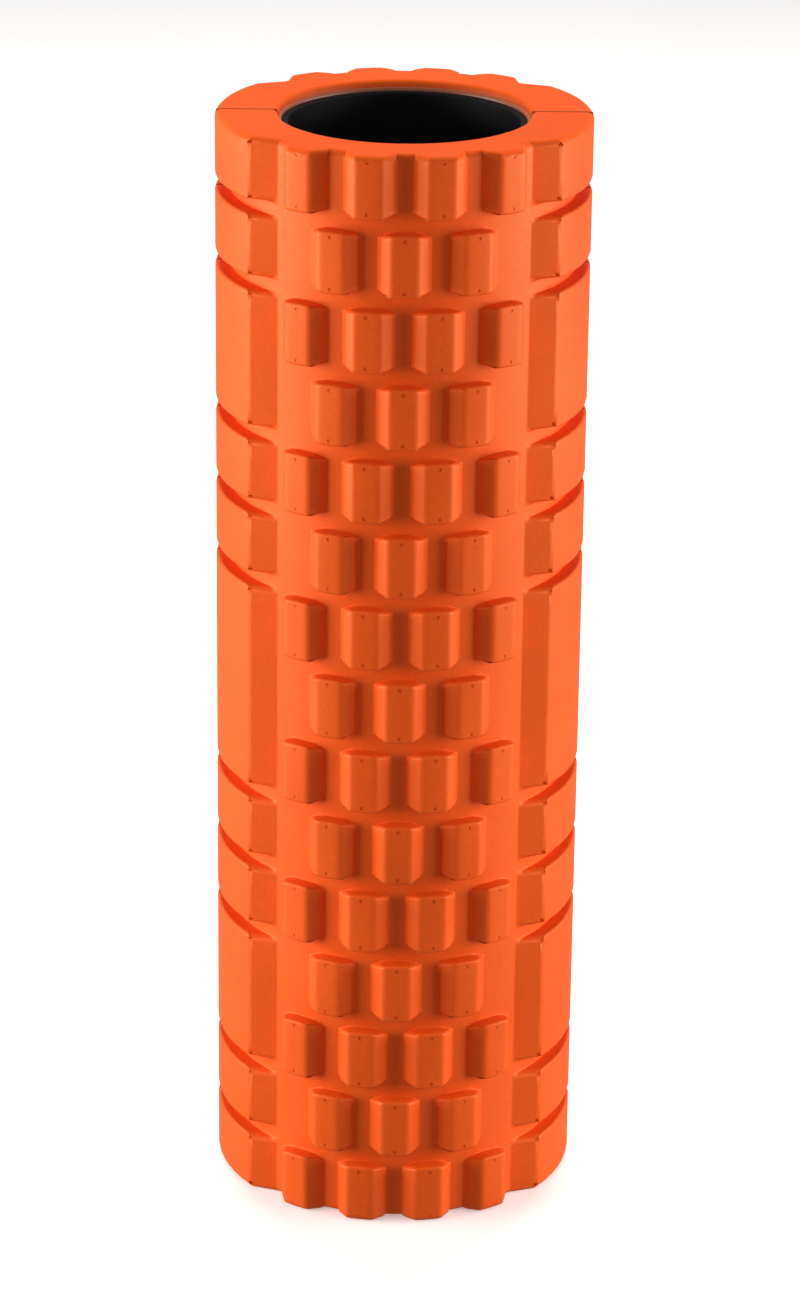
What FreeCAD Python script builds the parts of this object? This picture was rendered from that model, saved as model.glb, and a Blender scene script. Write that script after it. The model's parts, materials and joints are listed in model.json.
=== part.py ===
import FreeCAD, Part
import math
import os
import Sketcher
from FreeCAD import Placement, Rotation, Vector

# Hollow foam massage roller, standing on one end.
# Frame: origin at the centre of the bottom end face, +Z along the bore, -Y is the middle of the front half.
# Two equal moulded foam halves are bonded round a stiff core tube and to each other at the seams (y = 0).

doc = FreeCAD.newDocument("foam_roller")

# Driving dimensions in millimetres and degrees.
SIZES = {
    "sleeve_length": 450.0,        # foam, end face to end face
    "block_radius": 74.2,          # outer surface of the raised blocks
    "floor_radius": 68.2,          # bottom of the channels between the blocks
    "root_radius": 65.2,           # how deep a block's section is buried in the sleeve
    "foam_bore_radius": 49.4,      # inside of the foam
    "tube_radius": 49.0,           # outside of the core tube
    "tube_bore_radius": 45.5,      # inside of the core tube
    "tube_recess": 4.0,            # tube end below the foam end face
    "tube_chamfer": 0.6,
    "glue_recess": 4.5,            # adhesive stops short of the end faces
    "glue_inset": 0.5,             # seam adhesive stops short of the foam surface
    "seam_gap": 0.4,               # thickness of the adhesive between the halves
    "row_count": 15.0,
    "row_gap": 5.5,                # channel between two rows of blocks
    "face_half_width": 5.4,        # small block: flat middle face
    "face_height": 74.0,
    "shoulder_half_width": 9.3,    # small block: foot of the side bevel
    "shoulder_height": 70.4,
    "root_half_width": 11.3,       # small block: at root_radius
    "block_step": 22.5,            # angle from one small block to the next
    "facet_top": 54.0,             # wide block: where its outer surface ends
    "facet_foot": 45.4,            # wide block: where its facet meets the floor
    "rim_chamfer": 1.6,            # outer and inner edges of both foam ends
}

# Rows covered by each wide block, from one end to the other.
WIDE_BLOCK_ROWS = (1, 1, 2, 1, 1, 3, 1, 1, 2, 1, 1)

PITCH = "(sizes.sleeve_length + sizes.row_gap) / sizes.row_count"
BLOCK_LENGTH = f"({PITCH} - sizes.row_gap)"
SEAM_HALF = "sizes.seam_gap / 2"


def make_sheet():
    sheet = doc.addObject("Spreadsheet::Sheet", "sizes")
    for row, (name, value) in enumerate(SIZES.items(), start=1):
        sheet.set(f"A{row}", name)
        sheet.set(f"B{row}", str(value))
        sheet.setAlias(f"B{row}", name)
    doc.recompute()


def new_body(label, turn=0.0):
    body = doc.addObject("PartDesign::Body", label)
    body.Label = label
    body.Placement = Placement(Vector(0, 0, 0), Rotation(Vector(0, 0, 1), turn))
    return body


def new_sketch(body, role, height="0", turn="0"):
    """An empty sketch on one of the body's origin planes, raised and turned about the plane's normal."""
    plane = next(item for item in body.Origin.OriginFeatures if item.Role == role)
    sketch = body.newObject("Sketcher::SketchObject", "section")
    sketch.AttachmentSupport = [(plane, "")]
    sketch.MapMode = "FlatFace"
    sketch.AttachmentOffset = Placement(Vector(0, 0, 0), Rotation(Vector(0, 0, 1), 1))
    sketch.setExpression("AttachmentOffset.Rotation.Angle", turn)
    sketch.setExpression("AttachmentOffset.Base.z", height)
    return sketch


def bind(sketch, kind, references, name, expression):
    """One dimension of a sketch, bound to the spreadsheet."""
    value = doc.sizes.evalExpression(expression)
    index = sketch.addConstraint(Sketcher.Constraint(kind, *references, float(value)))
    sketch.renameConstraint(index, name)
    sketch.setExpression(f"Constraints.{name}", expression)


def closed_outline(sketch, points):
    """Straight lines through named points: each point is (name, x expression, y expression)."""
    places = []
    for _, across, along in points:
        places.append(Vector(float(doc.sizes.evalExpression(across)), float(doc.sizes.evalExpression(along)), 0))
    count = len(points)
    first = sketch.GeometryCount
    for index in range(count):
        sketch.addGeometry(Part.LineSegment(places[index], places[(index + 1) % count]), False)
    for index in range(count):
        sketch.addConstraint(
            Sketcher.Constraint("Coincident", first + index, 2, first + (index + 1) % count, 1))
    for index, (name, across, along) in enumerate(points):
        bind(sketch, "DistanceX", (-1, 1, first + index, 1), name + "_x", across)
        bind(sketch, "DistanceY", (-1, 1, first + index, 1), name + "_y", along)


def half_ring_outline(sketch, inner, outer):
    """Half ring on the -Y side, cut off flat at half the seam's thickness."""
    names = {"inner": inner, "outer": outer}
    seam = float(doc.sizes.evalExpression(SEAM_HALF))
    ends = {}
    for name, expression in names.items():
        radius = float(doc.sizes.evalExpression(expression))
        start = math.pi + math.asin(seam / radius)
        circle = Part.Circle(Vector(0, 0, 0), Vector(0, 0, 1), radius)
        ends[name] = sketch.addGeometry(Part.ArcOfCircle(circle, start, 3 * math.pi - start), False)
        sketch.addConstraint(Sketcher.Constraint("Coincident", ends[name], 3, -1, 1))
        index = sketch.addConstraint(Sketcher.Constraint("Radius", ends[name], radius))
        sketch.renameConstraint(index, name)
        sketch.setExpression(f"Constraints.{name}", expression)
    for side, end in (("left", 1), ("right", 2)):
        arc_end = sketch.getPoint(ends["inner"], end)
        line = sketch.addGeometry(Part.LineSegment(arc_end, sketch.getPoint(ends["outer"], end)), False)
        sketch.addConstraint(Sketcher.Constraint("Coincident", line, 1, ends["inner"], end))
        sketch.addConstraint(Sketcher.Constraint("Coincident", line, 2, ends["outer"], end))
        bind(sketch, "DistanceY", (line, 1, -1, 1), side + "_inner_y", SEAM_HALF)
        bind(sketch, "DistanceY", (line, 2, -1, 1), side + "_outer_y", SEAM_HALF)


def wide_block_outline(sketch, side):
    """Wide block beside the seam: outer arc, sloped facet, and a root arc buried in the sleeve."""
    seam = float(doc.sizes.evalExpression(SEAM_HALF))
    name = "right" if side > 0 else "left"

    def on_circle(radius, angle):
        return Vector(side * radius * math.sin(math.radians(angle)), -radius * math.cos(math.radians(angle)), 0)

    def at_seam(radius):
        return Vector(side * math.sqrt(radius ** 2 - seam ** 2), -seam, 0)

    def arc(radius, start, end):
        middle_angle = 90 - 0.5 * (90 - SIZES["facet_top"])
        curve = Part.Arc(start, on_circle(radius, middle_angle), end)
        return sketch.addGeometry(curve, False)

    outer, floor, root = SIZES["block_radius"], SIZES["floor_radius"], SIZES["root_radius"]
    root_seam, outer_seam = at_seam(root), at_seam(outer)
    facet_top = on_circle(outer, SIZES["facet_top"])
    facet_foot = on_circle(floor, SIZES["facet_foot"])
    root_foot = on_circle(root, SIZES["facet_foot"])
    outer_arc = arc(outer, outer_seam, facet_top)
    root_arc = arc(root, root_seam, root_foot)
    lines = []
    for start, end in ((root_seam, outer_seam), (facet_top, facet_foot), (facet_foot, root_foot)):
        lines.append(sketch.addGeometry(Part.LineSegment(start, end), False))
    for label, curve, expression in (("outer", outer_arc, "sizes.block_radius"),
                                     ("root", root_arc, "sizes.root_radius")):
        sketch.addConstraint(Sketcher.Constraint("Coincident", curve, 3, -1, 1))
        bind(sketch, "Radius", (curve,), f"{name}_{label}", expression)
    # An arc drawn clockwise is stored the other way round, so its ends are matched by place.
    for curve, joins in ((outer_arc, ((outer_seam, lines[0], 2), (facet_top, lines[1], 1))),
                         (root_arc, ((root_seam, lines[0], 1), (root_foot, lines[2], 2)))):
        for place, line, line_end in joins:
            end = 1 if (sketch.getPoint(curve, 1) - place).Length < 0.01 else 2
            sketch.addConstraint(Sketcher.Constraint("Coincident", curve, end, line, line_end))
    sketch.addConstraint(Sketcher.Constraint("Coincident", lines[1], 2, lines[2], 1))
    bind(sketch, "DistanceY", (lines[0], 1, -1, 1), name + "_root_y", SEAM_HALF)
    bind(sketch, "DistanceY", (lines[0], 2, -1, 1), name + "_outer_y", SEAM_HALF)
    bind(sketch, "DistanceY", (lines[1], 1, -1, 1), name + "_facet_top_y",
         "sizes.block_radius * cos(sizes.facet_top)")
    bind(sketch, "DistanceY", (lines[1], 2, -1, 1), name + "_facet_foot_y",
         "sizes.floor_radius * cos(sizes.facet_foot)")
    bind(sketch, "DistanceX", (-1, 1, lines[1], 2), name + "_facet_foot_x",
         f"{side} * sizes.floor_radius * sin(sizes.facet_foot)")
    bind(sketch, "DistanceY", (lines[2], 2, -1, 1), name + "_root_foot_y",
         "sizes.root_radius * cos(sizes.facet_foot)")


def small_block_outline(sketch):
    """Small block seen along the roller: flat face, two side bevels and steep side walls."""
    corners = (("root", "sizes.root_half_width", "sizes.root_radius"),
               ("shoulder", "sizes.shoulder_half_width", "sizes.shoulder_height"),
               ("face", "sizes.face_half_width", "sizes.face_height"))
    points = []
    for name, across, outward in corners:
        points.append(("left_" + name, f"-{across}", f"-{outward}"))
    for name, across, outward in reversed(corners):
        points.append(("right_" + name, across, f"-{outward}"))
    closed_outline(sketch, points)


def pad(body, sketch, length):
    feature = body.newObject("PartDesign::Pad", "pad")
    feature.Profile = sketch
    feature.setExpression("Length", length)
    return feature


def spread_blocks(body, columns, first_row, row_count):
    """A grid of small blocks: equally spaced columns round the roller, every second row along it."""
    turn = f"-{(columns - 1) / 2} * sizes.block_step"
    sketch = new_sketch(body, "XY_Plane", f"{first_row} * {PITCH}", turn)
    small_block_outline(sketch)
    block = pad(body, sketch, BLOCK_LENGTH)
    axis = next(item for item in body.Origin.OriginFeatures if item.Role == "Z_Axis")
    along = body.newObject("PartDesign::LinearPattern", "along")
    along.Direction = (axis, [""])
    along.setExpression("Length", f"{2 * (row_count - 1)} * {PITCH}")
    along.Occurrences = row_count
    around = body.newObject("PartDesign::PolarPattern", "around")
    around.Axis = (axis, [""])
    around.setExpression("Angle", f"{columns - 1} * sizes.block_step")
    around.Occurrences = columns
    grid = body.newObject("PartDesign::MultiTransform", "grid")
    grid.Originals = [block]
    grid.Transformations = [along, around]
    body.Tip = grid
    doc.recompute()


def wide_block_spans():
    """First row and number of rows of each wide block, from the bottom up."""
    first = 0
    for rows in WIDE_BLOCK_ROWS:
        yield first, rows
        first += rows


def chamfer_ends(body):
    """Take the edge off the outer rim and the bore mouth at both ends."""
    cut, over = "sizes.rim_chamfer", "1"
    sketch = new_sketch(body, "XZ_Plane")
    ends = (("bottom", "0", "-1"), ("top", "sizes.sleeve_length", "1"))
    rims = (("outer", "sizes.block_radius", "1"), ("bore", "sizes.foam_bore_radius", "-1"))
    for end, level, away in ends:
        for rim, radius, outward in rims:
            name = f"{end}_{rim}"
            inside = f"{radius} - ({outward}) * ({cut} + {over})"
            outside = f"{radius} + ({outward}) * {over}"
            beyond = f"{level} + ({away}) * {over}"
            back = f"{level} - ({away}) * ({cut} + {over})"
            closed_outline(sketch, ((name + "_a", inside, beyond), (name + "_b", outside, beyond),
                                    (name + "_c", outside, back)))
    groove = body.newObject("PartDesign::Groove", "groove")
    groove.Profile = sketch
    groove.ReferenceAxis = (sketch, ["V_Axis"])
    groove.Angle = 360
    doc.recompute()


def make_foam_half(label, turn):
    body = new_body(label, turn)
    section = new_sketch(body, "XY_Plane")
    half_ring_outline(section, "sizes.foam_bore_radius", "sizes.floor_radius")
    pad(body, section, "sizes.sleeve_length")
    for first, rows in wide_block_spans():
        sketch = new_sketch(body, "XY_Plane", f"{first} * {PITCH}")
        wide_block_outline(sketch, 1)
        wide_block_outline(sketch, -1)
        pad(body, sketch, f"{rows} * {PITCH} - sizes.row_gap")
    doc.recompute()
    odd_rows = (int(SIZES["row_count"]) + 1) // 2
    spread_blocks(body, 4, 0, odd_rows)
    spread_blocks(body, 3, 1, odd_rows - 1)
    chamfer_ends(body)
    return body


def make_core_tube():
    body = new_body("core_tube")
    sketch = new_sketch(body, "XZ_Plane")
    levels = (("bottom", "sizes.tube_recess", "1"), ("top", "(sizes.sleeve_length - sizes.tube_recess)", "-1"))
    walls = (("bore", "sizes.tube_bore_radius", "1"), ("outside", "sizes.tube_radius", "-1"))
    corners = {}
    for level, height, up in levels:
        for wall, radius, inward in walls:
            on_end = (f"{radius} + ({inward}) * sizes.tube_chamfer", height)
            on_wall = (radius, f"{height} + ({up}) * sizes.tube_chamfer")
            corners[level, wall] = (on_end, on_wall)
    order = (("bottom", "bore", 1), ("bottom", "bore", 0), ("bottom", "outside", 0), ("bottom", "outside", 1),
             ("top", "outside", 1), ("top", "outside", 0), ("top", "bore", 0), ("top", "bore", 1))
    points = [(f"{level}_{wall}_{which}", *corners[level, wall][which]) for level, wall, which in order]
    closed_outline(sketch, points)
    turned = body.newObject("PartDesign::Revolution", "turned")
    turned.Profile = sketch
    turned.ReferenceAxis = (sketch, ["V_Axis"])
    turned.Angle = 360
    return body


def make_adhesive_film(label, turn):
    body = new_body(label, turn)
    sketch = new_sketch(body, "XY_Plane", "sizes.glue_recess")
    half_ring_outline(sketch, "sizes.tube_radius", "sizes.foam_bore_radius")
    pad(body, sketch, "sizes.sleeve_length - 2 * sizes.glue_recess")
    return body


def make_box(name, start_x, end_x, start_z, end_z):
    """Thin upright slice in the seam, centred on y = 0."""
    box = doc.addObject("Part::Box", name)
    box.setExpression("Length", f"{end_x} - ({start_x})")
    box.setExpression("Width", "sizes.seam_gap")
    box.setExpression("Height", f"{end_z} - ({start_z})")
    box.setExpression("Placement.Base.x", start_x)
    box.setExpression("Placement.Base.y", f"-{SEAM_HALF}")
    box.setExpression("Placement.Base.z", start_z)
    return box


def make_seam_bond(label, turn):
    """Adhesive sheet between the halves: a spine inside the sleeve and a tooth in each wide block."""
    low, high = "sizes.glue_recess", "sizes.sleeve_length - sizes.glue_recess"
    slices = [make_box("spine", "sizes.tube_radius", "sizes.floor_radius - sizes.glue_inset", low, high)]
    for first, rows in wide_block_spans():
        start = f"max({first} * {PITCH} + sizes.glue_inset; {low})"
        end = f"min({first + rows} * {PITCH} - sizes.row_gap - sizes.glue_inset; {high})"
        slices.append(make_box("tooth", "sizes.root_radius", "sizes.block_radius - sizes.glue_inset", start, end))
    bond = doc.addObject("Part::MultiFuse", label)
    bond.Label = label
    bond.Shapes = slices
    bond.Refine = True
    bond.Placement = Placement(Vector(0, 0, 0), Rotation(Vector(0, 0, 1), turn))
    return bond


def check_document(subparts):
    for item in doc.Objects:
        if {"Invalid", "Error"} & set(item.State):
            raise RuntimeError(f"{item.Name} failed: {item.State}")
    for item in subparts:
        if item.Shape.isNull() or not item.Shape.isValid():
            raise RuntimeError(f"{item.Label} has no valid shape")
        if len(item.Shape.Solids) != 1:
            raise RuntimeError(f"{item.Label} has {len(item.Shape.Solids)} solids")


make_sheet()
SUBPARTS = [
    make_core_tube(),
    make_foam_half("front_foam_half", 0),
    make_foam_half("rear_foam_half", 180),
    make_adhesive_film("front_adhesive_film", 0),
    make_adhesive_film("rear_adhesive_film", 180),
    make_seam_bond("right_seam_bond", 0),
    make_seam_bond("left_seam_bond", 180),
]
doc.recompute()
check_document(SUBPARTS)

os.makedirs("parts", exist_ok=True)
for subpart in SUBPARTS:
    subpart.Shape.exportStep(f"parts/{subpart.Label}.step")
    print(subpart.Label, round(subpart.Shape.Volume / 1000, 2), "cm3", subpart.Shape.BoundBox)
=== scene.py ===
import json
import math

import bmesh
import bpy
from mathutils import Matrix, Vector


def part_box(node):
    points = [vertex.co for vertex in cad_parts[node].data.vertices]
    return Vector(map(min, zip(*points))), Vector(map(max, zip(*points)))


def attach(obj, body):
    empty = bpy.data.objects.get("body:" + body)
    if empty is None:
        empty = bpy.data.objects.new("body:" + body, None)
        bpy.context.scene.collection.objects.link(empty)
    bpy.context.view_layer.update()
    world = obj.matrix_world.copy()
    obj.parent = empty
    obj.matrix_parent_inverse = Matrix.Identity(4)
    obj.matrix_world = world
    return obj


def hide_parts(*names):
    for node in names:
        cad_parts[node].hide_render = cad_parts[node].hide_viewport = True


bl_info = {
    "name": "Foam Roller",
    "version": (1, 0, 0),
    "blender": (4, 5, 0),
    "location": "3D View > Sidebar > Roller",
    "description": "Models the moulded foam sleeve, core tube and studio of a hollow massage roller",
    "category": "Object",
}

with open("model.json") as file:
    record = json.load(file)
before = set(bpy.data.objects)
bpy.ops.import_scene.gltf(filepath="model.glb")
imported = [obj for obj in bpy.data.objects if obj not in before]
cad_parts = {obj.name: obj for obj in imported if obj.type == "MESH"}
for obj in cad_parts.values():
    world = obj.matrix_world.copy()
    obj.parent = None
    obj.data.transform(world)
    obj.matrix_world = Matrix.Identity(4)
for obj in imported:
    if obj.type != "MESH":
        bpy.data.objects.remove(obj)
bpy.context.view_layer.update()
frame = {"nodes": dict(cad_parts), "record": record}

MM = 0.001
FRONT_LOW, FRONT_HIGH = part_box("front_foam_half")
TUBE_LOW, TUBE_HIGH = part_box("core_tube")
FILM_LOW, FILM_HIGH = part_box("front_adhesive_film")
SEAM_LOW, SEAM_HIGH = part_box("right_seam_bond")
BORE = next(mount for mount in frame["record"]["mounts"] if mount["name"] == "tube_bore")

# Rows of small blocks beside each wide block, from one end of the roller to the other.
WIDE_BLOCK_ROWS = (1, 1, 2, 1, 1, 3, 1, 1, 2, 1, 1)
CELLS_ROUND = 6          # cells of the flat grid across one small block's tile
CELLS_ALONG = 4          # cells along one row
SIDE_CELLS = 8           # cells across a wide block's tile, from the last small block to the seam

TOUCH = 0.01 * MM        # points closer than this are in the same place
TILE_SHIFT = 1.3 * MM    # how far the tile edge moves off a wide block's foot
END_REACH = 3 * MM       # points this near an end are run past it before the ends are cut
OVERRUN = 10 * MM
VENT_INSET = 2.2 * MM    # from a block's end to its vent mark
SMALL_VENT = 0.8         # radius of a small block's vent mark, as a share of a wide block's

# Studio, in metres and watts.
FLOOR_RADIUS = 9.0
RIM_WIDTH = 3.0          # outer ring of the floor, which gives the cove room
WALL_HEIGHT = 8.0
COVE_RADIUS = 2.0
SOFT_WHITE = (1.0, 0.98, 0.93)


class RollerSizes(bpy.types.PropertyGroup):
    """Sizes of the roller. The defaults that the frame knows come from the frame."""

    length: bpy.props.FloatProperty(
        name="Length", description="Foam sleeve, end face to end face", unit="LENGTH",
        default=FRONT_HIGH.z - FRONT_LOW.z)
    outer_radius: bpy.props.FloatProperty(
        name="Outer Radius", description="Outer surface of the wide blocks", unit="LENGTH",
        default=FRONT_HIGH.x)
    foam_bore: bpy.props.FloatProperty(
        name="Foam Bore Radius", description="Inside of the foam sleeve", unit="LENGTH",
        default=-FILM_LOW.y)
    seam_gap: bpy.props.FloatProperty(
        name="Seam Gap", description="Thickness of the glue line between the halves", unit="LENGTH",
        default=SEAM_HIGH.y - SEAM_LOW.y)
    tube_radius: bpy.props.FloatProperty(
        name="Tube Radius", description="Outside of the core tube", unit="LENGTH", default=TUBE_HIGH.x)
    tube_bore: bpy.props.FloatProperty(
        name="Tube Bore Radius", description="Inside of the core tube", unit="LENGTH",
        default=BORE["dims"]["r_mm"] * MM)
    bead_size: bpy.props.FloatProperty(
        name="Glue Bead", description="Radius of the glue bead at the tube's ends", unit="LENGTH",
        default=0.9 * MM)
    row_count: bpy.props.IntProperty(
        name="Rows", description="Rows of small blocks along the roller", default=15, min=3)
    channel_depth: bpy.props.FloatProperty(
        name="Channel Depth", description="Depth of the channels below the outer surface", unit="LENGTH",
        default=6.0 * MM)
    row_gap: bpy.props.FloatProperty(
        name="Row Gap", description="Channel between two rows of blocks", unit="LENGTH", default=5.5 * MM)
    block_step: bpy.props.FloatProperty(
        name="Block Step", description="Angle from one small block to the next", subtype="ANGLE",
        default=math.radians(22.5))
    face_half: bpy.props.FloatProperty(
        name="Face Half Width", description="Small block, half of its flat face", unit="LENGTH",
        default=5.4 * MM)
    face_height: bpy.props.FloatProperty(
        name="Face Height", description="Small block, height of its face above the channel floor",
        unit="LENGTH", default=5.8 * MM)
    shoulder_half: bpy.props.FloatProperty(
        name="Shoulder Half Width", description="Small block, half width at the foot of its side bevels",
        unit="LENGTH", default=9.3 * MM)
    shoulder_height: bpy.props.FloatProperty(
        name="Shoulder Height", description="Small block, height of the foot of its side bevels",
        unit="LENGTH", default=2.2 * MM)
    foot_half: bpy.props.FloatProperty(
        name="Foot Half Width", description="Small block, half width on the channel floor", unit="LENGTH",
        default=10.2 * MM)
    corner_drop: bpy.props.FloatProperty(
        name="Corner Drop", description="Small block, how far its ends fall back towards the sides",
        unit="LENGTH", default=1.3 * MM)
    facet_top: bpy.props.FloatProperty(
        name="Facet Top", description="Wide block, angle where its outer surface ends", subtype="ANGLE",
        default=math.radians(54.0))
    facet_foot: bpy.props.FloatProperty(
        name="Facet Foot", description="Wide block, angle where its facet meets the floor",
        subtype="ANGLE", default=math.radians(45.4))
    edge_radius: bpy.props.FloatProperty(
        name="Edge Radius", description="Rounding of the block edges", unit="LENGTH", default=1.2 * MM)
    corner_radius: bpy.props.FloatProperty(
        name="Corner Radius", description="Rounding of the blocks' upright corners", unit="LENGTH",
        default=2.4 * MM)
    foot_radius: bpy.props.FloatProperty(
        name="Foot Radius", description="Fillet where the blocks meet the channel floor", unit="LENGTH",
        default=0.5 * MM)
    seam_radius: bpy.props.FloatProperty(
        name="Seam Edge Radius", description="Rounding of the edges at the glued seam", unit="LENGTH",
        default=0.5 * MM)
    vent_radius: bpy.props.FloatProperty(
        name="Vent Radius", description="Marks left by the mould's vents", unit="LENGTH", default=1.0 * MM)
    rim_radius: bpy.props.FloatProperty(
        name="Rim Radius", description="Rounding of the sleeve's end rims", unit="LENGTH",
        default=2.6 * MM)


class RollerColours(bpy.types.PropertyGroup):
    """Colours as sRGB hex values."""

    foam: bpy.props.StringProperty(name="Foam", description="Orange EVA foam", default="#EC540C")
    tube: bpy.props.StringProperty(name="Tube", description="Black ABS", default="#050607")
    glue: bpy.props.StringProperty(name="Glue", description="Dried contact adhesive", default="#5E2410")
    bead: bpy.props.StringProperty(name="Glue Bead", description="Thick dried adhesive", default="#B0603E")
    floor: bpy.props.StringProperty(name="Floor", description="White studio floor", default="#F4F2F1")


# Working in edit mode

def only(piece):
    """Make piece the only selected and the active object."""
    bpy.ops.object.select_all(action="DESELECT")
    piece.select_set(True)
    bpy.context.view_layer.objects.active = piece


def edit(piece, kind):
    only(piece)
    bpy.ops.object.mode_set(mode="EDIT")
    bpy.ops.mesh.select_mode(type=kind)


def done():
    bpy.ops.object.mode_set(mode="OBJECT")


def pick(piece, kind, test):
    """Select the vertices, edges or faces of the edited mesh that pass the test, and nothing else."""
    bpy.ops.mesh.select_mode(type=kind)
    bpy.ops.mesh.select_all(action="DESELECT")
    mesh = bmesh.from_edit_mesh(piece.data)
    items = {"VERT": mesh.verts, "EDGE": mesh.edges, "FACE": mesh.faces}[kind]
    found = 0
    for item in items:
        if test(item):
            item.select_set(True)
            found += 1
    mesh.select_flush_mode()
    bmesh.update_edit_mesh(piece.data)
    if not found:
        raise RuntimeError(f"nothing to select on {piece.name}")


def middle(item):
    """Centre of an edge or a face."""
    points = [vertex.co for vertex in item.verts]
    return sum(points, Vector()) / len(points)


def resize(value, centre):
    bpy.ops.transform.resize(value=value, center_override=centre)


def move(offset):
    bpy.ops.transform.translate(value=offset)


def apply_modifier(piece, kind, **settings):
    only(piece)
    modifier = piece.modifiers.new(kind.title(), kind)
    for name, value in settings.items():
        setattr(modifier, name, value)
    bpy.ops.object.modifier_apply(modifier=modifier.name)


def join(pieces, name):
    only(pieces[0])
    for piece in pieces:
        piece.select_set(True)
    bpy.ops.object.join()
    pieces[0].name = name
    pieces[0].data.name = name
    return pieces[0]


# The foam halves are modelled flat, as a slab whose channel floor lies in the plane y = 0: x runs round the
# roller along the channel floor, -y is outward and z is along the roller. The slab is bent at the end.

def flat_sizes():
    """Sizes of the flat slab worked out from the properties."""
    sizes = bpy.context.scene.roller_sizes
    floor = sizes.outer_radius - sizes.channel_depth
    seam = math.asin(sizes.seam_gap / 2 / floor)
    return {
        "floor": floor,
        "pitch": (sizes.length + sizes.row_gap) / sizes.row_count,
        "tile": sizes.block_step * floor,
        "side": sizes.block_step * floor * 2,
        "seam": (math.pi / 2 - seam) * floor,
        "wall": floor - sizes.foam_bore,
    }


def flat_half_width(half_width, height):
    """Half width of a block level, as an angle's length on the channel floor."""
    floor = flat_sizes()["floor"]
    return math.atan2(half_width, floor + height) * floor


def grid(name, across, along, low, high):
    """Flat grid of cells that faces outward, from corner (x, z) low to corner high."""
    bpy.ops.object.select_all(action="DESELECT")
    centre = ((low[0] + high[0]) / 2, 0, (low[1] + high[1]) / 2)
    bpy.ops.mesh.primitive_grid_add(
        x_subdivisions=across, y_subdivisions=along, size=1, location=centre, rotation=(math.pi / 2, 0, 0))
    tile = bpy.context.object
    tile.name = name
    bpy.ops.object.transform_apply(location=True, rotation=True, scale=True)
    edit(tile, "FACE")
    bpy.ops.mesh.select_all(action="SELECT")
    resize((high[0] - low[0], 1, high[1] - low[1]), centre)
    done()
    return tile


def raise_faces(height, shrink, centre):
    """Extrude the selected faces outward and shrink their rim towards a centre."""
    bpy.ops.mesh.extrude_region_move(TRANSFORM_OT_translate={"value": (0, -height, 0)})
    resize(shrink, centre)


def drop_corners(tile, height, half_width, block_half, drop):
    """Pull in the four corners of one level of a small block, so that its ends are crowned."""
    pick(tile, "VERT", lambda item: abs(item.co.y + height) < TOUCH and
         abs(abs(item.co.x) - half_width) < TOUCH and abs(abs(item.co.z) - block_half) < TOUCH)
    resize((1, 1, 1 - drop / block_half), (0, 0, 0))


def small_block_tile():
    """One small block in the middle of its tile, centred on the origin."""
    sizes = bpy.context.scene.roller_sizes
    flat = flat_sizes()
    width, pitch = flat["tile"], flat["pitch"]
    tile = grid("small_block", CELLS_ROUND, CELLS_ALONG, (-width / 2, -pitch / 2), (width / 2, pitch / 2))
    inner = width / 2 - width / CELLS_ROUND
    foot = flat_half_width(sizes.foot_half, 0)
    shoulder = flat_half_width(sizes.shoulder_half, sizes.shoulder_height)
    face = flat_half_width(sizes.face_half, sizes.face_height)
    block_half = (pitch - sizes.row_gap) / 2
    edit(tile, "FACE")
    pick(tile, "FACE", lambda item: abs(middle(item).x) < inner and abs(middle(item).z) < pitch / 4)
    resize((foot / inner, 1, block_half / (pitch / 4)), (0, 0, 0))
    raise_faces(sizes.shoulder_height, (shoulder / foot, 1, 1), (0, 0, 0))
    raise_faces(sizes.face_height - sizes.shoulder_height, (face / shoulder, 1, 1), (0, 0, 0))
    drop = sizes.corner_drop
    drop_corners(tile, 0, foot, block_half, drop * 1.5)
    drop_corners(tile, sizes.shoulder_height, shoulder, block_half, drop)
    drop_corners(tile, sizes.face_height, face, block_half, drop * 0.25)
    done()
    return tile


def wide_block_tile(first, rows):
    """One wide block on the right: facet, outer surface and the channel round it, cut off at the seam."""
    sizes = bpy.context.scene.roller_sizes
    flat = flat_sizes()
    pitch, side, seam = flat["pitch"], flat["side"], flat["seam"]
    low = first * pitch - sizes.row_gap / 2
    high = low + rows * pitch
    tile = grid("wide_block", SIDE_CELLS, CELLS_ALONG * rows, (side, low), (seam, high))
    centre = (seam, 0, (low + high) / 2)
    cell = (seam - side) / SIDE_CELLS
    inner_half = (high - low) / 2 - pitch / CELLS_ALONG
    block_half = (high - low - sizes.row_gap) / 2
    foot = seam - sizes.facet_foot * flat["floor"]
    top = seam - sizes.facet_top * flat["floor"]
    edit(tile, "FACE")
    pick(tile, "FACE", lambda item: middle(item).x > side + cell and
         abs(middle(item).z - centre[2]) < inner_half)
    resize((foot / (seam - side - cell), 1, block_half / inner_half), centre)
    raise_faces(sizes.channel_depth, (top / foot, 1, 1), centre)
    done()
    return tile


def spread(tile, columns, rows, first_row):
    """Repeat a small block over every second row, with its columns centred on x = 0."""
    sizes = bpy.context.scene.roller_sizes
    flat = flat_sizes()
    edit(tile, "VERT")
    bpy.ops.mesh.select_all(action="SELECT")
    across = -(columns - 1) / 2 * flat["tile"]
    move((across, 0, first_row * flat["pitch"] + (flat["pitch"] - sizes.row_gap) / 2))
    done()
    for count, step in ((columns, (flat["tile"], 0, 0)), (rows, (0, 0, 2 * flat["pitch"]))):
        apply_modifier(tile, "ARRAY", count=count, use_relative_offset=False, use_constant_offset=True,
                       constant_offset_displace=step)
    return tile


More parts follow.
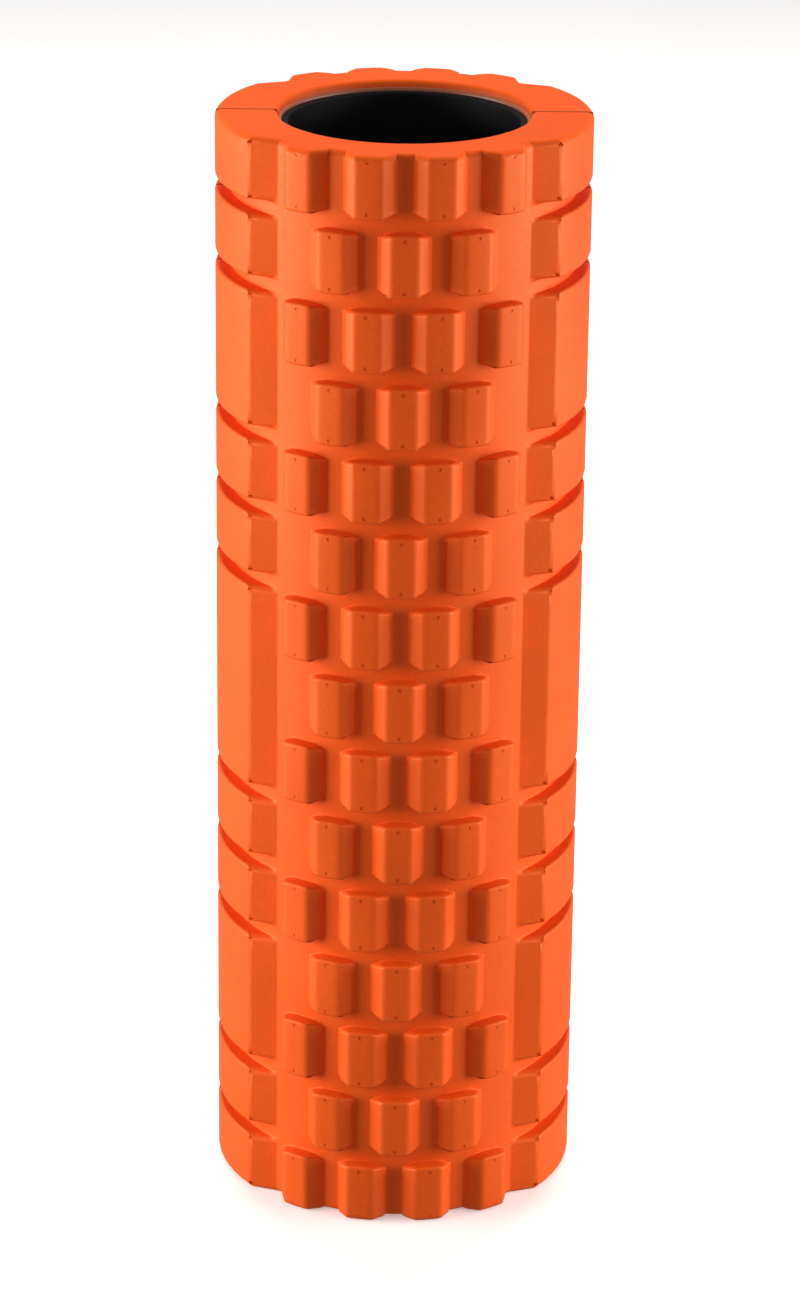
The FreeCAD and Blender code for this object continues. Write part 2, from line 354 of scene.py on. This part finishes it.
def block_field():
    """The whole outer surface of one half, flat and open, with square edges."""
    sizes = bpy.context.scene.roller_sizes
    flat = flat_sizes()
    pitch, width, side = flat["pitch"], flat["tile"], flat["side"]
    odd_rows = (sizes.row_count + 1) // 2
    tiles = [spread(small_block_tile(), 4, odd_rows, 0), spread(small_block_tile(), 3, odd_rows - 1, 1)]
    for row in range(1, sizes.row_count, 2):
        low = row * pitch - sizes.row_gap / 2
        for left in (-side, side - width / 2):
            tiles.append(grid("floor", CELLS_ROUND // 2, CELLS_ALONG, (left, low),
                              (left + width / 2, low + pitch)))
    first = 0
    for rows in WIDE_BLOCK_ROWS:
        right = wide_block_tile(first, rows)
        bpy.ops.object.duplicate()
        left = bpy.context.object
        edit(left, "FACE")
        bpy.ops.mesh.select_all(action="SELECT")
        resize((-1, 1, 1), (0, 0, 0))
        bpy.ops.mesh.flip_normals()
        done()
        tiles += [right, left]
        first += rows
    field = join(tiles, "field")
    edit(field, "VERT")
    bpy.ops.mesh.select_all(action="SELECT")
    bpy.ops.mesh.remove_doubles(threshold=2 * TOUCH)
    # The tile edge moves off the wide block's foot, because it would pinch the fillet there.
    for way in (-1, 1):
        pick(field, "VERT", lambda item: abs(item.co.x - way * side) < 2 * TOUCH)
        move((-way * TILE_SHIFT, 0, 0))
    done()
    return field


def cut_ends(field):
    """Run the end rows past the ends, then cut both ends square."""
    length = bpy.context.scene.roller_sizes.length
    edit(field, "VERT")
    pick(field, "VERT", lambda item: item.co.z < END_REACH)
    move((0, 0, -OVERRUN))
    pick(field, "VERT", lambda item: item.co.z > length - END_REACH)
    move((0, 0, OVERRUN))
    for level, clear in ((0, "inner"), (length, "outer")):
        bpy.ops.mesh.select_all(action="SELECT")
        bpy.ops.mesh.bisect(plane_co=(0, 0, level), plane_no=(0, 0, 1), clear_inner=clear == "inner",
                            clear_outer=clear == "outer", threshold=0.001 * MM)
    done()


def close_slab(field):
    """Turn the open field into a closed slab: end faces, seam faces and the bore wall."""
    length = bpy.context.scene.roller_sizes.length
    flat = flat_sizes()
    wall, seam = flat["wall"], flat["seam"]
    edit(field, "EDGE")
    bpy.ops.mesh.select_all(action="DESELECT")
    bpy.ops.mesh.select_non_manifold()
    bpy.ops.mesh.extrude_edges_move(TRANSFORM_OT_translate={"value": (0, wall, 0)})
    resize((1, 0, 1), (0, wall, 0))
    bpy.ops.mesh.select_all(action="SELECT")
    bpy.ops.mesh.remove_doubles(threshold=TOUCH)
    pick(field, "VERT", lambda item: abs(item.co.y - wall) < TOUCH and abs(abs(item.co.x) - seam) < TOUCH
         and TOUCH < item.co.z < length - TOUCH)
    bpy.ops.mesh.dissolve_verts()
    pick(field, "EDGE", lambda item: abs(middle(item).y - wall) < TOUCH
         and not TOUCH < middle(item).z < length - TOUCH)
    bpy.ops.mesh.bridge_edge_loops()
    bpy.ops.mesh.select_all(action="SELECT")
    bpy.ops.mesh.normals_make_consistent(inside=False)
    done()


def round_edges(field):
    """Give each kind of edge its rounding as a bevel weight, then bevel them all in one go."""
    sizes = bpy.context.scene.roller_sizes
    flat = flat_sizes()
    length, seam = sizes.length, flat["seam"]
    widest = max(sizes.edge_radius, sizes.corner_radius, sizes.rim_radius)

    def kind_of(item):
        if len(item.link_faces) != 2 or item.calc_face_angle(0) < math.radians(12):
            return None
        point = middle(item)
        if abs(abs(point.x) - seam) < TOUCH:
            return "seam"
        if not TOUCH < point.z < length - TOUCH:
            return "rim"
        along = item.verts[0].co - item.verts[1].co
        if item.is_convex and abs(along.z) < TOUCH and abs(along.y) > abs(along.x) / 2:
            return "corner"
        return "edge" if item.is_convex else "foot"

    edit(field, "EDGE")
    for kind, radius in (("edge", sizes.edge_radius), ("corner", sizes.corner_radius),
                         ("foot", sizes.foot_radius), ("rim", sizes.rim_radius),
                         ("seam", sizes.seam_radius)):
        pick(field, "EDGE", lambda item: kind_of(item) == kind)
        bpy.ops.transform.edge_bevelweight(value=radius / widest)
    done()
    apply_modifier(field, "BEVEL", limit_method="WEIGHT", width=widest, segments=3, use_clamp_overlap=False,
                   miter_outer="MITER_SHARP", miter_inner="MITER_SHARP")


def pins(points, bottom, radius):
    """Round pins, one over each (x, z) point, that reach down to a height above the channel floor."""
    sizes = bpy.context.scene.roller_sizes
    tall = sizes.channel_depth - bottom + 1 * MM
    bpy.ops.object.select_all(action="DESELECT")
    bpy.ops.mesh.primitive_cylinder_add(
        vertices=10, radius=radius, depth=tall, location=(0, -bottom - tall / 2, 0),
        rotation=(math.pi / 2, 0, 0))
    pin = bpy.context.object
    bpy.ops.object.transform_apply(location=True, rotation=True, scale=True)
    copies = [pin]
    for x, z in points[1:]:
        only(pin)
        bpy.ops.object.duplicate()
        bpy.context.object.location = (x, 0, z)
        copies.append(bpy.context.object)
    pin.location = (points[0][0], 0, points[0][1])
    join(copies, "vent_pins")
    bpy.ops.object.transform_apply(location=True, rotation=True, scale=True)
    return pin


def drill_vents(field):
    """Blind vent marks: one at each end of a wide block's facet edge and of a small block's face."""
    sizes = bpy.context.scene.roller_sizes
    flat = flat_sizes()
    edge = sizes.facet_top * flat["floor"] - 0.4 * MM
    points = []
    first = 0
    for rows in WIDE_BLOCK_ROWS:
        low = first * flat["pitch"]
        high = (first + rows) * flat["pitch"] - sizes.row_gap
        points += [(way * edge, z) for way in (-1, 1) for z in (low + VENT_INSET, high - VENT_INSET)]
        first += rows
    reach = (flat["pitch"] - sizes.row_gap) / 2 - VENT_INSET
    odd_rows = (sizes.row_count + 1) // 2
    small = [spread(pins([(0, -reach), (0, reach)], sizes.face_height - 0.3 * MM,
                         sizes.vent_radius * SMALL_VENT), columns, rows, start)
             for columns, rows, start in ((4, odd_rows, 0), (3, odd_rows - 1, 1))]
    cutter = join([pins(points, sizes.channel_depth - 2.6 * MM, sizes.vent_radius), *small], "vent_pins")
    apply_modifier(field, "BOOLEAN", object=cutter, operation="DIFFERENCE", solver="MANIFOLD")
    bpy.data.objects.remove(cutter)


def bend(field):
    """Bend the slab round the tube, with the outer surface facing -y."""
    flat = flat_sizes()
    apply_modifier(field, "SIMPLE_DEFORM", deform_method="BEND", deform_axis="Z",
                   angle=2 * flat["seam"] / flat["floor"])
    edit(field, "VERT")
    bpy.ops.mesh.select_all(action="SELECT")
    move((0, -flat["floor"], 0))
    bpy.ops.mesh.normals_make_consistent(inside=False)
    done()
    only(field)
    bpy.ops.object.shade_smooth()
    apply_modifier(field, "WEIGHTED_NORMAL", weight=60, keep_sharp=False)
    bpy.ops.object.transform_apply(location=True, rotation=True, scale=True)


# Materials

def linear(code):
    """sRGB hex value as a linear colour."""
    channels = (int(code.lstrip("#")[i:i + 2], 16) / 255 for i in (0, 2, 4))
    return tuple(c / 12.92 if c <= 0.04045 else ((c + 0.055) / 1.055) ** 2.4 for c in channels) + (1.0,)


def node(tree, kind, values=(), links=(), **settings):
    """Add a node with its settings, its sockets' values and the outputs that feed its sockets."""
    made = tree.nodes.new(kind)
    for name, value in settings.items():
        setattr(made, name, value)
    for name, value in dict(values).items():
        made.inputs[name].default_value = value
    for name, output in dict(links).items():
        tree.links.new(output, made.inputs[name])
    return made


def blank_material(name):
    """New node material with nothing in its tree but an output."""
    material = bpy.data.materials.new(name)
    material.use_nodes = True
    tree = material.node_tree
    tree.nodes.clear()
    return material, tree, tree.nodes.new("ShaderNodeOutputMaterial")


def moulded_eva_foam():
    """Closed-cell EVA foam out of a polished mould: a thin satin skin over fine cells. The eye sees a soft
    broad sheen on the rounded edges, a faint orange peel, a slight unevenness of the dye and a darker band
    along the parting line, which is partly adhesive stained into the skin and partly painted shade of the
    seam's slit."""
    material, tree, output = blank_material("moulded_eva_foam")
    colour = linear(bpy.context.scene.roller_colours.foam)
    deep = tuple(c * 0.86 for c in colour[:3]) + (1.0,)
    pale = tuple(min(1.0, c * 1.06 + 0.004) for c in colour[:3]) + (1.0,)
    place = node(tree, "ShaderNodeTexCoord").outputs["Object"]
    dye = node(tree, "ShaderNodeTexNoise", {"Scale": 1 / (60 * MM), "Detail": 3.0, "Roughness": 0.5},
               {"Vector": place})
    cells = node(tree, "ShaderNodeTexNoise", {"Scale": 1 / (1.6 * MM), "Detail": 2.0, "Roughness": 0.6},
                 {"Vector": place})
    pores = node(tree, "ShaderNodeTexVoronoi", {"Scale": 1 / (2.4 * MM), "Randomness": 1.0},
                 {"Vector": place})
    mixed = node(tree, "ShaderNodeMath", {1: 0.35}, {0: cells.outputs["Fac"]}, operation="MULTIPLY")
    tone = node(tree, "ShaderNodeMath", {1: 0.65}, {0: dye.outputs["Fac"], 2: mixed.outputs[0]},
                operation="MULTIPLY_ADD")
    ramp = node(tree, "ShaderNodeMapRange", {"From Min": 0.3, "From Max": 0.7}, {"Value": tone.outputs[0]})
    skin = node(tree, "ShaderNodeMix", {6: deep, 7: pale}, {"Factor": ramp.outputs["Result"]},
                data_type="RGBA")
    axes = node(tree, "ShaderNodeSeparateXYZ", {}, {"Vector": place})
    # Darker band within about a millimetre of the seam: partly adhesive stain, partly painted shade standing
    # in for the shade inside the seam's slit.
    beside = node(tree, "ShaderNodeMath", {}, {0: axes.outputs["Y"]}, operation="ABSOLUTE")
    seam_stain_and_shade = node(tree, "ShaderNodeMapRange",
                 {"From Min": 0.45 * MM, "From Max": 0.95 * MM, "To Min": 0.75, "To Max": 0.0},
                 {"Value": beside.outputs[0]})
    seam_stained_and_shaded = node(tree, "ShaderNodeMix", {7: linear(bpy.context.scene.roller_colours.glue)},
                 {"Factor": seam_stain_and_shade.outputs["Result"], 6: skin.outputs[2]}, data_type="RGBA")
    sheen = node(tree, "ShaderNodeMapRange",
                 {"From Min": 0.3, "From Max": 0.7, "To Min": 0.46, "To Max": 0.60},
                 {"Value": cells.outputs["Fac"]})
    pits = node(tree, "ShaderNodeMapRange", {"From Min": 0.05, "From Max": 0.22},
                {"Value": pores.outputs["Distance"]})
    peel = node(tree, "ShaderNodeBump", {"Strength": 0.35, "Distance": 0.10 * MM},
                {"Height": cells.outputs["Fac"]})
    relief = node(tree, "ShaderNodeBump", {"Strength": 0.25, "Distance": 0.06 * MM},
                  {"Height": pits.outputs["Result"], "Normal": peel.outputs["Normal"]})
    shader = node(tree, "ShaderNodeBsdfPrincipled", {"IOR": 1.48, "Specular Tint": (1.0, 0.74, 0.36, 1.0)},
                  {"Base Color": seam_stained_and_shaded.outputs[2], "Roughness": sheen.outputs["Result"],
                   "Normal": relief.outputs["Normal"]})
    tree.links.new(shader.outputs["BSDF"], output.inputs["Surface"])
    return material


def extruded_abs():
    """ABS pipe out of an extrusion die: black and satin, with faint draw lines along its length that break up
    the highlight inside the bore."""
    material, tree, output = blank_material("extruded_abs")
    colour = linear(bpy.context.scene.roller_colours.tube)
    place = node(tree, "ShaderNodeTexCoord").outputs["Object"]
    drawn = node(tree, "ShaderNodeMapping", {"Scale": (1.0, 1.0, 0.01)}, {"Vector": place})
    lines = node(tree, "ShaderNodeTexNoise", {"Scale": 1 / (1.2 * MM), "Detail": 2.0},
                 {"Vector": drawn.outputs["Vector"]})
    dust = node(tree, "ShaderNodeTexNoise", {"Scale": 1 / (9 * MM), "Detail": 4.0}, {"Vector": place})
    gloss = node(tree, "ShaderNodeMapRange",
                 {"From Min": 0.3, "From Max": 0.7, "To Min": 0.50, "To Max": 0.66},
                 {"Value": dust.outputs["Fac"]})
    pale = tuple(c * 1.6 + 0.002 for c in colour[:3]) + (1.0,)
    tint = node(tree, "ShaderNodeMix", {6: colour, 7: pale}, {"Factor": dust.outputs["Fac"]},
                data_type="RGBA")
    relief = node(tree, "ShaderNodeBump", {"Strength": 0.3, "Distance": 0.05 * MM},
                  {"Height": lines.outputs["Fac"]})
    shader = node(tree, "ShaderNodeBsdfPrincipled", {"IOR": 1.54, "Specular IOR Level": 0.2},
                  {"Base Color": tint.outputs[2], "Roughness": gloss.outputs["Result"],
                   "Normal": relief.outputs["Normal"]})
    tree.links.new(shader.outputs["BSDF"], output.inputs["Surface"])
    return material


def lumpy_glue(name, colour, darkest, lump, relief_strength, smooth, rough):
    """Recipe of the two glue finishes: lumps of one size that change the tone, the relief and the gloss."""
    material, tree, output = blank_material(name)
    deep = tuple(c * darkest for c in colour[:3]) + (1.0,)
    place = node(tree, "ShaderNodeTexCoord").outputs["Object"]
    lumps = node(tree, "ShaderNodeTexNoise", {"Scale": 1 / lump, "Detail": 3.0}, {"Vector": place})
    tint = node(tree, "ShaderNodeMix", {6: deep, 7: colour}, {"Factor": lumps.outputs["Fac"]},
                data_type="RGBA")
    relief = node(tree, "ShaderNodeBump", {"Strength": relief_strength, "Distance": 0.2 * MM},
                  {"Height": lumps.outputs["Fac"]})
    gloss = node(tree, "ShaderNodeMapRange", {"To Min": smooth, "To Max": rough},
                 {"Value": lumps.outputs["Fac"]})
    shader = node(tree, "ShaderNodeBsdfPrincipled", {"IOR": 1.5},
                  {"Base Color": tint.outputs[2], "Roughness": gloss.outputs["Result"],
                   "Normal": relief.outputs["Normal"]})
    tree.links.new(shader.outputs["BSDF"], output.inputs["Surface"])
    return material


def dried_contact_adhesive():
    """Contact adhesive dried to a rubbery film: a darker, slightly glossy line with a lumpy, brushed edge."""
    colour = linear(bpy.context.scene.roller_colours.glue)
    return lumpy_glue("dried_contact_adhesive", colour, 0.6, 4 * MM, 0.5, 0.35, 0.55)


def squeezed_out_glue():
    """Contact adhesive squeezed out at the tube's lip and dried thick: a waxy, salmon-brown bead."""
    colour = linear(bpy.context.scene.roller_colours.bead)
    return lumpy_glue("squeezed_out_glue", colour, 0.75, 5 * MM, 0.4, 0.30, 0.45)


def matt_studio_floor():
    """Painted studio floor: matt white, with a very slight unevenness so that it isn't a flat tone."""
    material, tree, output = blank_material("matt_studio_floor")
    colour = linear(bpy.context.scene.roller_colours.floor)
    place = node(tree, "ShaderNodeTexCoord").outputs["Object"]
    wear = node(tree, "ShaderNodeTexNoise", {"Scale": 1 / (300 * MM), "Detail": 2.0}, {"Vector": place})
    deep = tuple(c * 0.99 for c in colour[:3]) + (1.0,)
    tint = node(tree, "ShaderNodeMix", {6: deep, 7: colour}, {"Factor": wear.outputs["Fac"]},
                data_type="RGBA")
    shader = node(tree, "ShaderNodeBsdfPrincipled",
                  {"Roughness": 0.75, "Specular IOR Level": 0.2, "Emission Color": (1.0, 0.985, 0.98, 1.0),
                   "Emission Strength": 0.31},
                  {"Base Color": tint.outputs[2]})
    tree.links.new(shader.outputs["BSDF"], output.inputs["Surface"])
    return material


# Operators

class ROLLER_OT_foam_sleeve(bpy.types.Operator):
    """Model the two moulded foam halves, one in front and its copy at the back"""

    bl_idname = "roller.foam_sleeve"
    bl_label = "Foam Sleeve"

    def execute(self, context):
        front = block_field()
        cut_ends(front)
        close_slab(front)
        round_edges(front)
        drill_vents(front)
        bend(front)
        front.name = front.data.name = "front_sleeve_half"
        front.data.materials.clear()
        front.data.materials.append(moulded_eva_foam())
        only(front)
        bpy.ops.object.duplicate()
        rear = context.object
        rear.name = rear.data.name = "rear_sleeve_half"
        rear.rotation_euler = (0, 0, math.pi)
        bpy.ops.object.transform_apply(location=True, rotation=True, scale=True)
        for piece, replaced in ((front, "front_foam_half"), (rear, "rear_foam_half")):
            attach(piece, "root")
            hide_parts(replaced)
        return {"FINISHED"}


class ROLLER_OT_core_tube(bpy.types.Operator):
    """Model the core tube with softened lips at both ends"""

    bl_idname = "roller.core_tube"
    bl_label = "Core Tube"

    def execute(self, context):
        sizes = context.scene.roller_sizes
        bpy.ops.object.select_all(action="DESELECT")
        bpy.ops.mesh.primitive_circle_add(vertices=144, radius=sizes.tube_radius, location=(0, 0, TUBE_LOW.z))
        tube = context.object
        tube.name = tube.data.name = "core_pipe"
        bpy.ops.object.transform_apply(location=True, rotation=True, scale=True)
        edit(tube, "EDGE")
        bpy.ops.mesh.select_all(action="SELECT")
        bpy.ops.mesh.extrude_edges_move(TRANSFORM_OT_translate={"value": (0, 0, TUBE_HIGH.z - TUBE_LOW.z)})
        bpy.ops.mesh.select_all(action="SELECT")
        bpy.ops.mesh.normals_make_consistent(inside=False)
        done()
        apply_modifier(tube, "SOLIDIFY", thickness=sizes.tube_radius - sizes.tube_bore, offset=-1.0)
        apply_modifier(tube, "BEVEL", limit_method="ANGLE", angle_limit=math.radians(60), width=0.7 * MM,
                       segments=3)
        only(tube)
        bpy.ops.object.shade_smooth()
        apply_modifier(tube, "WEIGHTED_NORMAL", weight=60, keep_sharp=False)
        tube.data.materials.append(extruded_abs())
        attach(tube, "root")
        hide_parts("core_tube")
        return {"FINISHED"}


class ROLLER_OT_glue_beads(bpy.types.Operator):
    """Model the dried bead of glue in the corner between each end of the tube and the foam"""

    bl_idname = "roller.glue_beads"
    bl_label = "Glue Beads"

    def execute(self, context):
        sizes = context.scene.roller_sizes
        finish = squeezed_out_glue()
        size = sizes.bead_size
        for name, level, way in (("lower_glue_bead", TUBE_LOW.z, -1), ("upper_glue_bead", TUBE_HIGH.z, 1)):
            bpy.ops.object.select_all(action="DESELECT")
            bpy.ops.mesh.primitive_torus_add(
                major_radius=sizes.foam_bore - size * 0.35, minor_radius=size, major_segments=144,
                minor_segments=12, location=(0, 0, level))
            bead = context.object
            bead.name = bead.data.name = name
            bpy.ops.object.transform_apply(location=True, rotation=True, scale=True)
            edit(bead, "VERT")
            bpy.ops.mesh.select_all(action="SELECT")
            resize((1, 1, 1.5), (0, 0, level))
            bpy.ops.mesh.bisect(plane_co=(0, 0, level), plane_no=(0, 0, way), clear_inner=True,
                                use_fill=True)
            done()
            only(bead)
            bpy.ops.object.shade_smooth_by_angle(angle=math.radians(40))
            bead.data.materials.append(finish)
            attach(bead, "root")
        return {"FINISHED"}


class ROLLER_OT_glue_lines(bpy.types.Operator):
    """Give the glue film round the tube and the glue lines between the halves their finish"""

    bl_idname = "roller.glue_lines"
    bl_label = "Glue Lines"

    def execute(self, context):
        glue = dried_contact_adhesive()
        for name in ("front_adhesive_film", "rear_adhesive_film", "right_seam_bond", "left_seam_bond"):
            mesh = frame["nodes"][name].data
            mesh.materials.clear()
            mesh.materials.append(glue)
        return {"FINISHED"}


def softbox(name, place, target, width, height, power, colour):
    """Rectangular studio light at a place, facing a target."""
    bpy.ops.object.select_all(action="DESELECT")
    bpy.ops.object.light_add(type="AREA", location=place)
    light = bpy.context.object
    light.name = name
    light.data.shape = "RECTANGLE"
    light.data.size, light.data.size_y = width, height
    light.data.energy = power
    light.data.color = colour
    light.rotation_euler = (Vector(target) - Vector(place)).to_track_quat("-Z", "Y").to_euler()
    return light


class ROLLER_OT_studio(bpy.types.Operator):
    """Set up the pale floor, the soft lights and the camera"""

    bl_idname = "roller.studio"
    bl_label = "Studio"

    def execute(self, context):
        scene = context.scene
        bpy.ops.object.select_all(action="DESELECT")
        bpy.ops.mesh.primitive_circle_add(vertices=96, radius=FLOOR_RADIUS, fill_type="NGON",
                                          location=(0, 0, 0))
        floor = context.object
        floor.name = floor.data.name = "studio_floor"
        edit(floor, "EDGE")
        bpy.ops.mesh.select_all(action="SELECT")
        bpy.ops.mesh.inset(thickness=RIM_WIDTH)
        pick(floor, "EDGE", lambda item: len(item.link_faces) == 1)
        bpy.ops.mesh.extrude_edges_move(TRANSFORM_OT_translate={"value": (0, 0, WALL_HEIGHT)})
        done()
        apply_modifier(floor, "BEVEL", limit_method="ANGLE", angle_limit=math.radians(40),
                       width=COVE_RADIUS, segments=12)
        only(floor)
        bpy.ops.object.shade_smooth()
        floor.data.materials.append(matt_studio_floor())
        floor.visible_diffuse = False
        floor.visible_glossy = False

        centre = (0, 0, 0.22)
        softbox("left_softbox", (-1.42, -0.18, 0.37), centre, 1.20, 0.75, 33, SOFT_WHITE)
        softbox("right_softbox", (1.42, -0.18, 0.37), centre, 1.20, 0.75, 27, SOFT_WHITE)
        back = softbox("back_softbox", (0, 1.1, 1.9), (0, 0, 0.4), 1.4, 0.8, 44, (1.0, 1.0, 1.0))
        back.visible_glossy = False
        world = bpy.data.worlds.new("studio_air")
        world.use_nodes = True
        background = world.node_tree.nodes["Background"]
        background.inputs["Color"].default_value = (1.0, 1.0, 1.0, 1.0)
        background.inputs["Strength"].default_value = 0.31
        scene.world = world
        scene.view_settings.view_transform = "Standard"

        yaw, pitch, roll = math.radians(0.57), math.radians(-20.934), math.radians(0.66)
        forward = Vector((math.sin(yaw) * math.cos(pitch), math.cos(yaw) * math.cos(pitch), math.sin(pitch)))
        right = forward.cross(Vector((0, 0, 1))).normalized()
        above = right.cross(forward)
        right, above = (right * math.cos(roll) + above * math.sin(roll),
                        above * math.cos(roll) - right * math.sin(roll))
        bpy.ops.object.select_all(action="DESELECT")
        bpy.ops.object.camera_add(location=(-16.3 * MM, -1698.1 * MM, 875.3 * MM))
        camera = context.object
        camera.name = "studio_camera"
        camera.rotation_euler = Matrix((right, above, -forward)).transposed().to_euler()
        camera.data.sensor_fit = "VERTICAL"
        camera.data.sensor_height = 36
        camera.data.lens = 123.86
        camera.data.clip_end = 100
        scene.camera = camera
        return {"FINISHED"}


class VIEW3D_PT_roller(bpy.types.Panel):
    """Lists the roller's pieces and its main sizes"""

    bl_label = "Foam Roller"
    bl_space_type = "VIEW_3D"
    bl_region_type = "UI"
    bl_category = "Roller"

    def draw(self, context):
        for step in STEPS:
            self.layout.operator(step.bl_idname)
        for name in ("edge_radius", "foot_radius", "rim_radius"):
            self.layout.prop(context.scene.roller_sizes, name)
        self.layout.prop(context.scene.roller_colours, "foam")
        self.layout.prop(context.scene.roller_colours, "tube")


STEPS = (ROLLER_OT_foam_sleeve, ROLLER_OT_core_tube, ROLLER_OT_glue_beads, ROLLER_OT_glue_lines,
         ROLLER_OT_studio)
CLASSES = (RollerSizes, RollerColours, *STEPS, VIEW3D_PT_roller)


def register():
    for cls in CLASSES:
        bpy.utils.register_class(cls)
    bpy.types.Scene.roller_sizes = bpy.props.PointerProperty(type=RollerSizes)
    bpy.types.Scene.roller_colours = bpy.props.PointerProperty(type=RollerColours)


def unregister():
    del bpy.types.Scene.roller_colours
    del bpy.types.Scene.roller_sizes
    for cls in reversed(CLASSES):
        bpy.utils.unregister_class(cls)


def main():
    register()
    bpy.ops.roller.foam_sleeve()
    bpy.ops.roller.core_tube()
    bpy.ops.roller.glue_beads()
    bpy.ops.roller.glue_lines()
    bpy.ops.roller.studio()


if __name__ == "__main__":
    main()
